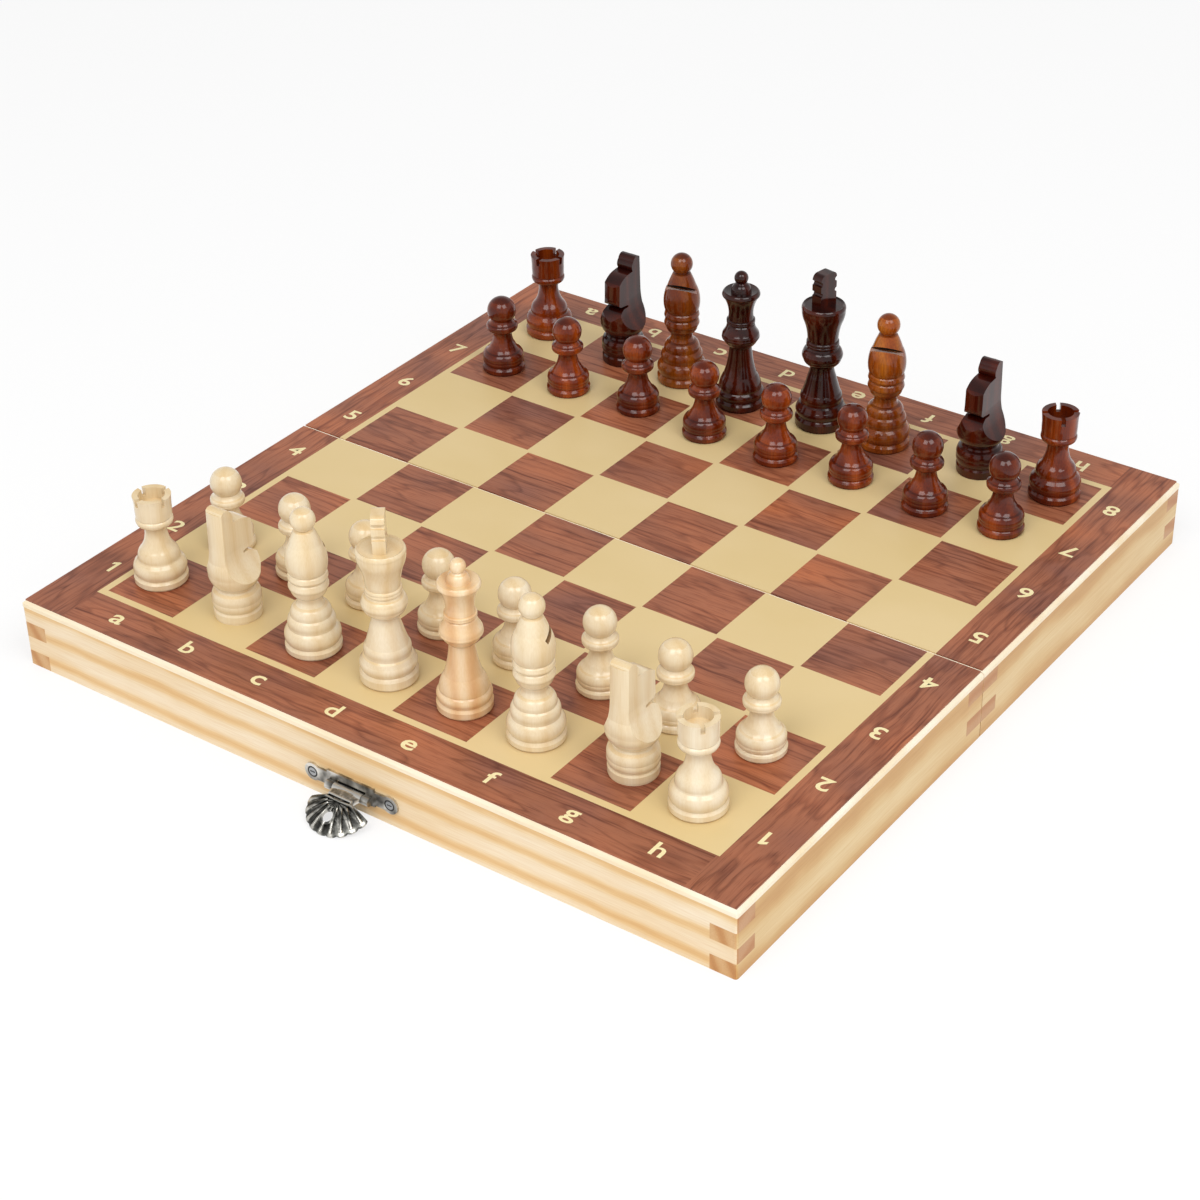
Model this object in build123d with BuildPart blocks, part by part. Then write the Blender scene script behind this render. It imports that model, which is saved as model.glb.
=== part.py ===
from build123d import *
from math import asin, atan2, cos, degrees, hypot, pi, radians, sin, sqrt
import os

os.makedirs("parts", exist_ok=True)

# Board, two hollow halves that lie flat with the playing field up and fold under each other
square = 31.25
files = 8
half_ranks = 4
border = 20.0
seam_gap = 0.3
rail_thickness = 9.5
rail_height = 23.1
finger_levels = 4
corner_round = 1.0
panel_thickness = 2.4
edge_reveal = 1.0
seam_reveal = 0.35
veneer_thickness = 0.5
line_width = 2.0
square_inset = 0.7
steel_thickness = 0.4
steel_margin = 8.0
felt_thickness = 0.8

# Two butt hinges let into the rims of the seam rails
hinge_spacing = 180.0
hinge_length = 26.0
leaf_width = 8.0
leaf_thickness = 0.8
barrel_radius = 1.25
hinge_pin_radius = 0.6
knuckles = 5
knuckle_gap = 0.2
running_gap = 0.05
free_gap = 0.35
rim_lift = 0.05
leaf_screw_spacing = 14.0

# Countersunk wood screws, one size throughout
screw_head_radius = 1.5
screw_head_depth = 0.75
screw_radius = 0.8
screw_length = 6.0

# Hasp, a shell-shaped fan on a two-screw plate, and the knob that it drops over
hasp_plate_length = 38.0
hasp_ear_radius = 3.2
hasp_band_height = 5.0
hasp_block_height = 6.8
hasp_sheet = 0.8
hasp_plate_height = 8.3
hasp_pivot_height = 7.3
hasp_pivot_out = 1.9
hasp_barrel_radius = 1.6
hasp_pin_radius = 0.7
hasp_knuckle_length = 11.6
hasp_ear_knuckle = 2.8
fan_hole_radius = 2.0
fan_hole_reach = 10.5
fan_length = 16.0
fan_rim_radius = 11.2
fan_half_angle = 86.0
fan_lobes = 9
fan_lobe_rise = 0.5
fan_sheet = 0.9
fan_dome_radius = 24.0
fan_dome_rise = 2.85
fan_rib_radius = 0.6
fan_rib_start = 0.4
fan_rib_end = 0.4
fan_eyelet = 0.9
fan_eyelet_rise = 0.5
fan_ridges = (3.1, 4.5)
fan_ridge_radius = 0.45
fan_tip_clearance = 0.1
catch_plate_length = 24.0
catch_plate_width = 6.4
catch_screw_spacing = 17.0
knob_stem_radius = 1.1
knob_head_radius = 1.7
knob_length = 4.4

# Turned chessmen, with a magnet and a felt disc under each foot
pawn_height, pawn_foot = 30.5, 8.3
rook_height, rook_foot = 33.6, 9.3
knight_height, knight_foot = 43.0, 8.4
bishop_height, bishop_foot = 53.0, 9.5
queen_height, queen_foot = 55.2, 9.2
king_height, king_foot = 62.2, 9.6
magnet_radius = 4.0
magnet_height = 3.0
base_felt = 0.8
base_felt_inset = 0.7
cross_width = 8.4
cross_thickness = 4.3
cross_corner = 2.2
cross_nick = 0.9
cross_nick_drops = (3.2, 7.4)
rook_slot = 1.5
rook_slot_depth = 2.6
rook_cup_radius = 4.6
rook_cup_depth = 4.2
mitre_slit = 1.6
mitre_slit_slope = 35.0
muzzle_thickness = 7.0

# Sizes that follow
case_width = files * square + 2 * border
case_half = case_width / 2
seam_face = seam_gap / 2
veneer_seam = seam_face + seam_reveal
axis_z = barrel_radius
rim_z = axis_z + rim_lift
rail_top = rim_z + rail_height
panel_top = rail_top + panel_thickness
board_top = panel_top + veneer_thickness
finger_height = rail_height / finger_levels
field_half = files * square / 2 + line_width
inner_half = case_half - rail_thickness
groove_radius = barrel_radius + free_gap
pivot_z = rim_z + hasp_pivot_height
fan_underside = fan_dome_rise - fan_sheet - fan_dome_radius + sqrt(
    fan_dome_radius**2 - (fan_length / 2) ** 2
)
fan_drop = pivot_z - rim_z - fan_tip_clearance
fan_slope = asin(fan_drop / hypot(fan_length, fan_underside)) + atan2(fan_underside, fan_length)
fan_reach = case_half + hasp_pivot_out + fan_length * cos(fan_slope) + fan_underside * sin(fan_slope)
knob_z = 2 * axis_z - (pivot_z - fan_hole_reach)
knob_reach = case_half + hasp_sheet + knob_length
# The seam stands a little behind the origin, which is the middle of the whole footprint
seam_y = (fan_reach - knob_reach) / 2
deck = Plane((0, seam_y, 0))
base = (Align.CENTER, Align.CENTER, Align.MIN)
top = (Align.CENTER, Align.CENTER, Align.MAX)


def keep(piece, label):
    piece.label = label
    export_step(piece, f"parts/{label}.step")


def slab(width, y_from, y_to, z_from, thickness, mode=Mode.ADD):
    """A flat block across the board, centred on it, between two distances from the seam."""
    with Locations((0, seam_y + (y_from + y_to) / 2, z_from)):
        Box(width, abs(y_to - y_from), thickness, align=base, mode=mode)


def cap_middle(start, tip):
    """The middle of the arc from a point to a tip on the axis, on a sphere about that axis."""
    centre = (tip[1] ** 2 - start[0] ** 2 - start[1] ** 2) / (2 * (tip[1] - start[1]))
    turn = (pi / 2 + atan2(start[1] - centre, start[0])) / 2
    return ((tip[1] - centre) * cos(turn), centre + (tip[1] - centre) * sin(turn))


def on_case_corner(edge):
    middle = edge.center()
    across = abs(abs(middle.X) - case_half)
    along = abs(abs(middle.Y - seam_y) - case_half)
    return max(across, along) < seam_gap / 2


# Screws
def screw_blank():
    """One countersunk screw, head up at the origin, shank down."""
    with BuildPart() as blank:
        with BuildSketch(Plane.XZ):
            with BuildLine():
                Polyline(
                    (0, 0),
                    (screw_head_radius, 0),
                    (screw_radius, -screw_head_depth),
                    (screw_radius, -screw_length + screw_radius),
                    (0, -screw_length),
                    close=True,
                )
            make_face()
        revolve(axis=Axis.Z)
    return blank.part


def screws(side, rail_screws):
    """A half's four leaf screws, driven up into the rim, and two more in its outer face."""
    blank = screw_blank()
    with BuildPart() as group:
        for hinge_x in (-hinge_spacing / 2, hinge_spacing / 2):
            for x in (hinge_x - leaf_screw_spacing / 2, hinge_x + leaf_screw_spacing / 2):
                with Locations(Location((x, seam_y + side * leaf_width * 0.62, rim_z), (180, 0, 0))):
                    add(blank)
        for x, z in rail_screws:
            with Locations(Location((x, seam_y + side * (case_half + hasp_sheet), z), (-side * 90, 0, 0))):
                add(blank)
    return group.part


ear_x = hasp_plate_length / 2 - hasp_ear_radius
near_screws = screws(-1, [(-ear_x, rim_z + hasp_plate_height), (ear_x, rim_z + hasp_plate_height)])
far_screws = screws(1, [(-catch_screw_spacing / 2, knob_z), (catch_screw_spacing / 2, knob_z)])


# Rails, with finger joints at the corners
def hinge_recess(side):
    """The mortise for each leaf and the round groove that clears the barrel."""
    for hinge_x in (-hinge_spacing / 2, hinge_spacing / 2):
        with Locations((hinge_x, seam_y + side * leaf_width / 2, rim_z)):
            Box(hinge_length, leaf_width, leaf_thickness, align=base, mode=Mode.SUBTRACT)
        with Locations(Location((hinge_x, seam_y, axis_z), (0, 90, 0))):
            Cylinder(groove_radius, hinge_length + 2 * free_gap, mode=Mode.SUBTRACT)


def cross_rail(side, outer, inner, screws_in):
    """A rail along the width; its fingers are the first and third levels from the top."""
    with BuildPart() as rail:
        slab(case_width, side * outer, side * inner, rim_z, rail_height)
        for level in range(0, finger_levels, 2):
            with BuildSketch(deck.offset(rim_z + level * finger_height)):
                for x in (-case_half + rail_thickness / 2, case_half - rail_thickness / 2):
                    with Locations((x, side * (outer + inner) / 2)):
                        Rectangle(rail_thickness, rail_thickness)
            extrude(amount=finger_height, mode=Mode.SUBTRACT)
        corners = rail.edges().filter_by(Axis.Z).filter_by(on_case_corner)
        if corners:
            fillet(corners, radius=corner_round)
        else:
            hinge_recess(side)
        add(screws_in, mode=Mode.SUBTRACT)
    return rail


def side_rail(side, x_side):
    """A rail at one end of a half; its fingers are the second and fourth levels."""
    with BuildPart() as rail:
        with BuildSketch(deck.offset(rim_z)):
            with Locations((x_side * (case_half - rail_thickness / 2), side * (case_half + seam_face) / 2)):
                Rectangle(rail_thickness, case_half - seam_face)
        extrude(amount=rail_height)
        for level in range(1, finger_levels, 2):
            with BuildSketch(deck.offset(rim_z + level * finger_height)):
                for y in (seam_face + rail_thickness / 2, case_half - rail_thickness / 2):
                    with Locations((x_side * (case_half - rail_thickness / 2), side * y)):
                        Rectangle(rail_thickness, rail_thickness)
            extrude(amount=finger_height, mode=Mode.SUBTRACT)
        fillet(rail.edges().filter_by(Axis.Z).filter_by(on_case_corner), radius=corner_round)
    return rail


# Top of a half: panel, steel sheet, light field, dark squares and border, felt lining
def panel(side):
    with BuildPart() as board:
        slab(case_width, side * seam_face, side * case_half, rail_top, panel_thickness)
        outer_top = board.edges().filter_by_position(Axis.Z, panel_top, panel_top)
        seam_edge = outer_top.sort_by(lambda e: abs(e.center().Y - seam_y))[0]
        chamfer([e for e in outer_top if e != seam_edge], length=edge_reveal)
        seam_top = board.edges().filter_by_position(Axis.Z, panel_top, panel_top)
        chamfer(seam_top.sort_by(lambda e: abs(e.center().Y - seam_y))[0], length=seam_reveal)
        fillet(board.edges().filter_by(Axis.Z).filter_by(on_case_corner), radius=corner_round / 2)
        slab(
            case_width - 2 * steel_margin,
            side * (seam_face + steel_margin),
            side * (case_half - steel_margin),
            panel_top - steel_thickness,
            steel_thickness,
            mode=Mode.SUBTRACT,
        )
    return board


def steel_sheet(side):
    with BuildPart() as sheet:
        slab(
            case_width - 2 * steel_margin,
            side * (seam_face + steel_margin),
            side * (case_half - steel_margin),
            panel_top - steel_thickness,
            steel_thickness,
        )
    return sheet


def dark_squares(side):
    """The outlines of a half's dark squares, drawn in the sketch that is open."""
    for rank in range(half_ranks):
        outer_y = (rank + 1) * square - square_inset
        inner_y = rank * square + square_inset if rank else veneer_seam
        for file in range(files):
            is_dark = (file + rank) % 2 == (1 if side < 0 else 0)
            if is_dark:
                with Locations(((file + 0.5 - files / 2) * square, side * (inner_y + outer_y) / 2)):
                    Rectangle(square - 2 * square_inset, outer_y - inner_y)


def light_field(side):
    with BuildPart() as field:
        slab(2 * field_half, side * veneer_seam, side * field_half, panel_top, veneer_thickness)
        with BuildSketch(deck.offset(panel_top)):
            dark_squares(side)
        extrude(amount=veneer_thickness, mode=Mode.SUBTRACT)
    return field


def dark_veneer(side):
    with BuildPart() as veneer:
        slab(
            case_width - 2 * edge_reveal,
            side * veneer_seam,
            side * (case_half - edge_reveal),
            panel_top,
            veneer_thickness,
        )
        slab(
            2 * field_half,
            side * veneer_seam,
            side * field_half,
            panel_top,
            veneer_thickness,
            mode=Mode.SUBTRACT,
        )
        with BuildSketch(deck.offset(panel_top)):
            dark_squares(side)
        extrude(amount=veneer_thickness)
    return veneer


def felt_lining(side):
    with BuildPart() as lining:
        slab(
            2 * inner_half,
            side * (seam_face + rail_thickness),
            side * inner_half,
            rail_top - felt_thickness,
            felt_thickness,
        )
    return lining


# Hinge leaves and pins
def hinge_leaves(side, screws_in):
    """Both leaves of a half, each with its own share of the knuckles."""
    pitch = (hinge_length + knuckle_gap) / knuckles
    bore = hinge_pin_radius if side < 0 else hinge_pin_radius + running_gap
    with BuildPart() as leaves:
        for hinge_x in (-hinge_spacing / 2, hinge_spacing / 2):
            start = hinge_x - hinge_length / 2
            with BuildSketch(deck.offset(rim_z)):
                with Locations((hinge_x, side * (leaf_width + groove_radius) / 2)):
                    Rectangle(hinge_length, leaf_width - groove_radius)
                for knuckle in range(0 if side < 0 else 1, knuckles, 2):
                    middle_x = start + knuckle * pitch + (pitch - knuckle_gap) / 2
                    tab = leaf_width - (barrel_radius + hinge_pin_radius + running_gap) / 2
                    with Locations((middle_x, side * (leaf_width - tab / 2))):
                        Rectangle(pitch - knuckle_gap, tab)
            extrude(amount=leaf_thickness)
            for knuckle in range(0 if side < 0 else 1, knuckles, 2):
                at = Plane((start + knuckle * pitch, seam_y, axis_z), z_dir=(1, 0, 0))
                with BuildSketch(at):
                    Circle(barrel_radius)
                extrude(amount=pitch - knuckle_gap)
            with BuildSketch(Plane((start, seam_y, axis_z), z_dir=(1, 0, 0))):
                Circle(bore)
            extrude(amount=hinge_length, mode=Mode.SUBTRACT)
        add(screws_in, mode=Mode.SUBTRACT)
    return leaves


near_leaves = hinge_leaves(-1, near_screws)
far_leaves = hinge_leaves(1, far_screws)

with BuildPart() as hinge_pins:
    for hinge_x in (-hinge_spacing / 2, hinge_spacing / 2):
        with BuildSketch(Plane((hinge_x - hinge_length / 2, seam_y, axis_z), z_dir=(1, 0, 0))):
            Circle(hinge_pin_radius)
        extrude(amount=hinge_length)

near_front_rail = cross_rail(-1, case_half, inner_half, near_screws)
near_seam_rail = cross_rail(-1, seam_face + rail_thickness, seam_face, near_screws)
far_back_rail = cross_rail(1, case_half, inner_half, far_screws)
far_seam_rail = cross_rail(1, seam_face + rail_thickness, seam_face, far_screws)

keep(near_screws, "near_screws")
keep(far_screws, "far_screws")
keep(near_leaves.part, "near_hinge_leaves")
keep(far_leaves.part, "far_hinge_leaves")
keep(hinge_pins.part, "hinge_pins")
keep(near_front_rail.part, "near_front_rail")
keep(near_seam_rail.part, "near_seam_rail")
keep(far_back_rail.part, "far_back_rail")
keep(far_seam_rail.part, "far_seam_rail")
for half, side in (("near", -1), ("far", 1)):
    keep(side_rail(side, -1).part, f"{half}_left_rail")
    keep(side_rail(side, 1).part, f"{half}_right_rail")
    keep(panel(side).part, f"{half}_panel")
    keep(steel_sheet(side).part, f"{half}_steel_sheet")
    keep(light_field(side).part, f"{half}_light_field")
    keep(dark_veneer(side).part, f"{half}_dark_veneer")
    keep(felt_lining(side).part, f"{half}_felt_lining")

# Hasp plate on the near rail
near_face = Plane((0, seam_y - case_half, 0), x_dir=(1, 0, 0), z_dir=(0, -1, 0))
far_face = Plane((0, seam_y + case_half, 0), x_dir=(-1, 0, 0), z_dir=(0, 1, 0))
pivot_y = seam_y - case_half - hasp_pivot_out
window_length = hasp_knuckle_length + 2 * knuckle_gap

with BuildPart() as hasp_plate:
    with BuildSketch(near_face):
        with Locations((0, rim_z + hasp_plate_height)):
            Rectangle(2 * ear_x, hasp_band_height)
            Rectangle(window_length + 2.6 * hasp_ear_knuckle, hasp_block_height)
            with Locations((-ear_x, 0), (ear_x, 0)):
                Circle(hasp_ear_radius)
        with Locations((0, pivot_z)):
            Rectangle(window_length, 2 * (hasp_barrel_radius + free_gap), mode=Mode.SUBTRACT)
    extrude(amount=hasp_sheet)
    for x in (-window_length / 2 - hasp_ear_knuckle, window_length / 2):
        with BuildSketch(Plane((x, pivot_y, pivot_z), z_dir=(1, 0, 0))):
            Circle(hasp_barrel_radius)
        extrude(amount=hasp_ear_knuckle)
    add(near_screws, mode=Mode.SUBTRACT)
    with BuildSketch(Plane((-hasp_plate_length, pivot_y, pivot_z), z_dir=(1, 0, 0))):
        Circle(hasp_pin_radius)
    extrude(amount=2 * hasp_plate_length, mode=Mode.SUBTRACT)

with BuildPart() as hasp_pin:
    pin_half = window_length / 2 + hasp_ear_knuckle
    with BuildSketch(Plane((-pin_half, pivot_y, pivot_z), z_dir=(1, 0, 0))):
        Circle(hasp_pin_radius)
    extrude(amount=2 * pin_half)

keep(hasp_plate.part, "hasp_plate")
keep(hasp_pin.part, "hasp_pin")

# Hasp fan: x across, y along the fan from its pivot, z off its upper side
rim_middle = fan_length - fan_rim_radius
lobe_angle = 2 * fan_half_angle / fan_lobes
dome_middle = fan_length / 2
dome_base = fan_dome_rise - fan_dome_radius


def rim_point(angle, rise=0.0):
    """A point of the fan's scalloped edge, by its angle from the fan's middle line."""
    reach = fan_rim_radius + rise
    return (reach * sin(radians(angle)), rim_middle + reach * cos(radians(angle)))


def on_dome(x, y):
    """The point of the fan's domed upper side above a place on its flat."""
    return Vector(x, y, dome_base + sqrt(fan_dome_radius**2 - x**2 - (y - dome_middle) ** 2))


with BuildPart() as eyelet:
    with Locations((0, fan_hole_reach, 0)):
        Cylinder(fan_hole_radius + fan_eyelet, fan_length)
    with Locations((0, dome_middle, dome_base)):
        Sphere(fan_dome_radius + fan_eyelet_rise, mode=Mode.INTERSECT)
        Sphere(fan_dome_radius - fan_sheet / 2, mode=Mode.SUBTRACT)

with BuildPart() as hasp_fan:
    with BuildSketch(Plane.XY.offset(-fan_length / 2)):
        with BuildLine():
            cusps = [rim_point(-fan_half_angle + lobe * lobe_angle) for lobe in range(fan_lobes + 1)]
            for lobe in range(fan_lobes):
                crest = rim_point(-fan_half_angle + (lobe + 0.5) * lobe_angle, fan_lobe_rise)
                ThreePointArc(cusps[lobe], crest, cusps[lobe + 1])
            neck = hasp_knuckle_length / 2
            Polyline(
                cusps[-1],
                (neck * 0.86, hasp_barrel_radius * 2.2),
                (neck, hasp_barrel_radius),
                (neck, 0),
                (-neck, 0),
                (-neck, hasp_barrel_radius),
                (-neck * 0.86, hasp_barrel_radius * 2.2),
                cusps[0],
            )
        make_face()
    extrude(amount=fan_length)
    with Locations((0, dome_middle, dome_base)):
        Sphere(fan_dome_radius, mode=Mode.INTERSECT)
        Sphere(fan_dome_radius - fan_sheet, mode=Mode.SUBTRACT)
    dome_centre = Vector(0, dome_middle, dome_base)
    for lobe in range(fan_lobes):
        tip = rim_point(-fan_half_angle + (lobe + 0.5) * lobe_angle, -fan_rib_end)
        root = (tip[0] * fan_rib_start, hasp_barrel_radius + (tip[1] - hasp_barrel_radius) * fan_rib_start)
        from_centre = on_dome(*root) - dome_centre
        to_centre = on_dome(*tip) - dome_centre
        turning = from_centre.cross(to_centre).normalized()
        with BuildSketch(Plane(on_dome(*root), z_dir=turning.cross(from_centre).normalized())):
            Circle(fan_rib_radius)
        revolve(axis=Axis(dome_centre, turning), revolution_arc=from_centre.get_angle(to_centre))
    for y in fan_ridges:
        with Locations(Location(on_dome(0, y), (0, 90, 0))):
            Cylinder(fan_ridge_radius, hasp_knuckle_length * 0.8)
    add(eyelet.part)
    with BuildSketch(Plane.XY.offset(-fan_length / 2)):
        with Locations((0, fan_hole_reach)):
            Circle(fan_hole_radius)
    extrude(amount=fan_length, mode=Mode.SUBTRACT)
    with BuildSketch(Plane((-hasp_knuckle_length / 2, 0, 0), z_dir=(1, 0, 0))):
        Circle(hasp_barrel_radius)
    extrude(amount=hasp_knuckle_length)
    with BuildSketch(Plane((-hasp_knuckle_length / 2, 0, 0), z_dir=(1, 0, 0))):
        Circle(hasp_pin_radius + running_gap)
    extrude(amount=hasp_knuckle_length, mode=Mode.SUBTRACT)

fan_rest = Location((0, pivot_y, pivot_z), (degrees(fan_slope), 0, 180))
with BuildPart() as seated_fan:
    with Locations(fan_rest):
        add(hasp_fan.part)
keep(seated_fan.part, "hasp_fan")

# Catch plate with its knob, on the far rail
with BuildPart() as catch_plate:
    with BuildSketch(far_face):
        with Locations((0, knob_z)):
            SlotOverall(catch_plate_length, catch_plate_width)
    extrude(amount=hasp_sheet)
    with BuildSketch(Plane((0, seam_y + case_half, knob_z), x_dir=(1, 0, 0), z_dir=(0, 0, 1))):
        with BuildLine():
            tip = (0, hasp_sheet + knob_length)
            brim = (knob_head_radius, tip[1] * 0.75)
            Polyline((0, 0), (knob_stem_radius, 0), (knob_stem_radius, tip[1] * 0.6), brim)
            ThreePointArc(brim, cap_middle(brim, tip), tip)
            Line(tip, (0, 0))
        make_face()
    revolve(axis=Axis((0, seam_y + case_half, knob_z), (0, 1, 0)))
    add(far_screws, mode=Mode.SUBTRACT)
keep(catch_plate.part, "catch_plate")

# Chessmen. Profiles are in shares of the foot radius and of the height; a third number
# in an entry makes the stretch up to it an arc that bulges (or, below zero, hollows) by
# that share of its length, and a last stretch to the axis part of a sphere.

def turned(radius, height, profile):
    """A turned piece standing on its own felt, from its profile."""
    with BuildPart() as blank:
        with BuildSketch(Plane.XZ):
            with BuildLine():
                start = (0.0, base_felt)
                corner = (profile[0][0] * radius, base_felt)
                Line(start, corner)
                for r, z, *bulge in profile[1:]:
                    end = (r * radius, z * height)
                    if bulge and r == 0:
                        ThreePointArc(corner, cap_middle(corner, end), end)
                    elif bulge:
                        across = Vector(end[1] - corner[1], corner[0] - end[0]) * bulge[0]
                        middle = (
                            (corner[0] + end[0]) / 2 + across.X,
                            (corner[1] + end[1]) / 2 + across.Y,
                        )
                        ThreePointArc(corner, middle, end)
                    else:
                        Line(corner, end)
                    corner = end
                Line(corner, start)
            make_face()
        revolve(axis=Axis.Z)
    return blank.part


pawn_profile = [
    *[(1.0, 0.0), (1.0, 0.07), (0.95, 0.09), (0.91, 0.1), (0.94, 0.12), (0.95, 0.165, 0.1)],
    *[(0.84, 0.265, 0.14), (0.6, 0.345, -0.08), (0.47, 0.43, -0.05), (0.43, 0.5, -0.04), (0.43, 0.52)],
    *[(0.63, 0.56, 0.06), (0.72, 0.6, 0.2), (0.68, 0.645, 0.15), (0.51, 0.702, -0.1), (0.0, 1.0, 1)],
]
rook_profile = [
    *[(1.0, 0.0), (1.0, 0.075), (0.94, 0.095), (0.92, 0.105), (0.96, 0.13), (0.91, 0.24, 0.13)],
    *[(0.8, 0.27), (0.78, 0.285), (0.64, 0.395, 0.1), (0.45, 0.51, -0.06), (0.41, 0.6, -0.04)],
    *[(0.42, 0.645), (0.6, 0.675, 0.05), (0.68, 0.7, 0.12), (0.68, 0.74, 0.1), (0.64, 0.753)],
    *[(0.67, 0.766), (0.68, 0.84), (0.71, 1.0, -0.02), (0.0, 1.0)],
]
bishop_profile = [
    *[(1.0, 0.0), (1.0, 0.045), (0.94, 0.06), (0.92, 0.066), (0.96, 0.08), (0.89, 0.16, 0.15)],
    *[(0.83, 0.17), (0.83, 0.185), (0.78, 0.24, 0.12), (0.72, 0.25), (0.72, 0.26)],
    *[(0.5, 0.325, 0.16), (0.44, 0.355, -0.06), (0.45, 0.385), (0.64, 0.43, 0.1), (0.67, 0.447)],
    *[(0.7, 0.475, 0.15), (0.67, 0.495), (0.63, 0.503), (0.68, 0.515), (0.7, 0.535, 0.15)],
    *[(0.68, 0.55), (0.64, 0.558), (0.69, 0.575), (0.735, 0.64, 0.04), (0.57, 0.758, 0.06)],
    *[(0.36, 0.85, 0.02), (0.28, 0.86), (0.0, 1.0, 1)],
]
queen_profile = [
    *[(1.0, 0.0), (1.0, 0.05), (0.94, 0.063), (0.92, 0.069), (0.96, 0.085), (0.92, 0.13, 0.16)],
    *[(0.88, 0.137), (0.88, 0.15), (0.68, 0.24, 0.05), (0.48, 0.4, -0.03), (0.45, 0.445)],
    *[(0.5, 0.455), (0.72, 0.505, 0.06), (0.76, 0.53, 0.2), (0.7, 0.56, 0.1), (0.57, 0.61, -0.05)],
    *[(0.52, 0.62), (0.57, 0.637, 0.3), (0.52, 0.655, 0.3), (0.5, 0.69), (0.72, 0.82, -0.07)],
    *[(0.76, 0.845, 0.2), (0.68, 0.862, 0.1), (0.42, 0.856), (0.4, 0.87), (0.25, 0.91, 0.12)],
    *[(0.2, 0.918), (0.0, 1.0, 1)],
]
king_profile = [
    *[(1.0, 0.0), (1.0, 0.055), (0.95, 0.068), (0.92, 0.074), (0.96, 0.09), (0.93, 0.13, 0.15)],
    *[(0.86, 0.152), (0.8, 0.16), (0.8, 0.175), (0.74, 0.225, 0.12), (0.55, 0.327, -0.01)],
    *[(0.46, 0.385, -0.03), (0.46, 0.397), (0.66, 0.42, 0.06), (0.74, 0.445, 0.1)],
    *[(0.76, 0.487, 0.15), (0.62, 0.515, 0.12), (0.59, 0.525), (0.62, 0.545, 0.25)],
    *[(0.58, 0.567, 0.2), (0.6, 0.585), (0.77, 0.7, -0.04), (0.84, 0.765, 0.05)],
    *[(0.79, 0.795, 0.15), (0.71, 0.787), (0.0, 0.787)],
]
knight_profile = [
    *[(0.98, 0.0), (0.98, 0.07), (0.93, 0.085), (0.93, 0.095), (0.99, 0.16, 0.12)],
    *[(0.92, 0.235, 0.1), (0.8, 0.25), (0.76, 0.265), (0.8, 0.285), (1.05, 0.4, 0.12)],
    *[(0.99, 0.53, 0.06), (0.93, 0.66), (0.88, 1.0), (0.0, 1.0)],
]


def with_base(wood):
    """Adds the magnet let into the foot and the felt disc under it."""
    with BuildPart() as piece:
        add(wood)
        with Locations((0, 0, base_felt)):
            Cylinder(magnet_radius, magnet_height, align=base, mode=Mode.SUBTRACT)
    with BuildPart() as magnet:
        with Locations((0, 0, base_felt)):
            Cylinder(magnet_radius, magnet_height, align=base)
    foot = wood.bounding_box().size.X / 2
    with BuildPart() as disc:
        Cylinder(foot - base_felt_inset, base_felt, align=base)
    return [piece.part.solid(), magnet.part.solid(), disc.part.solid()]


def rook_wood():
    with BuildPart() as tower:
        add(turned(rook_foot, rook_height, rook_profile))
        with Locations((0, 0, rook_height)):
            Cylinder(rook_cup_radius, rook_cup_depth, align=top, mode=Mode.SUBTRACT)
            for turn in (0, 90):
                with Locations(Location((0, 0, 0), (0, 0, turn))):
                    Box(rook_slot, 2 * rook_foot, rook_slot_depth, align=top, mode=Mode.SUBTRACT)
    return tower.part


def bishop_wood():
    with BuildPart() as mitre:
        add(turned(bishop_foot, bishop_height, bishop_profile))
        with Locations(Location((bishop_foot * 0.1, 0, bishop_height * 0.72), (0, -mitre_slit_slope, 0))):
            Box(
                bishop_foot,
                2 * bishop_foot,
                mitre_slit,
                align=(Align.MIN, Align.CENTER, Align.CENTER),
                mode=Mode.SUBTRACT,
            )
    return mitre.part


def king_wood():
    """The turned king under a thick slab of a cross, nicked at both edges."""
    with BuildPart() as crowned:
        add(turned(king_foot, king_height, king_profile))
        with BuildSketch(Plane.XZ.offset(-cross_thickness / 2)):
            with Locations((0, king_height)):
                cross = Rectangle(cross_width, king_height * 0.215, align=(Align.CENTER, Align.MAX))
            fillet(cross.vertices().group_by(Axis.Y)[-1], radius=cross_corner)
            for drop in cross_nick_drops:
                with Locations((-cross_width / 2, king_height - drop), (cross_width / 2, king_height - drop)):
                    Circle(cross_nick, mode=Mode.SUBTRACT)
        extrude(amount=cross_thickness)
    return crowned.part


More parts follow.
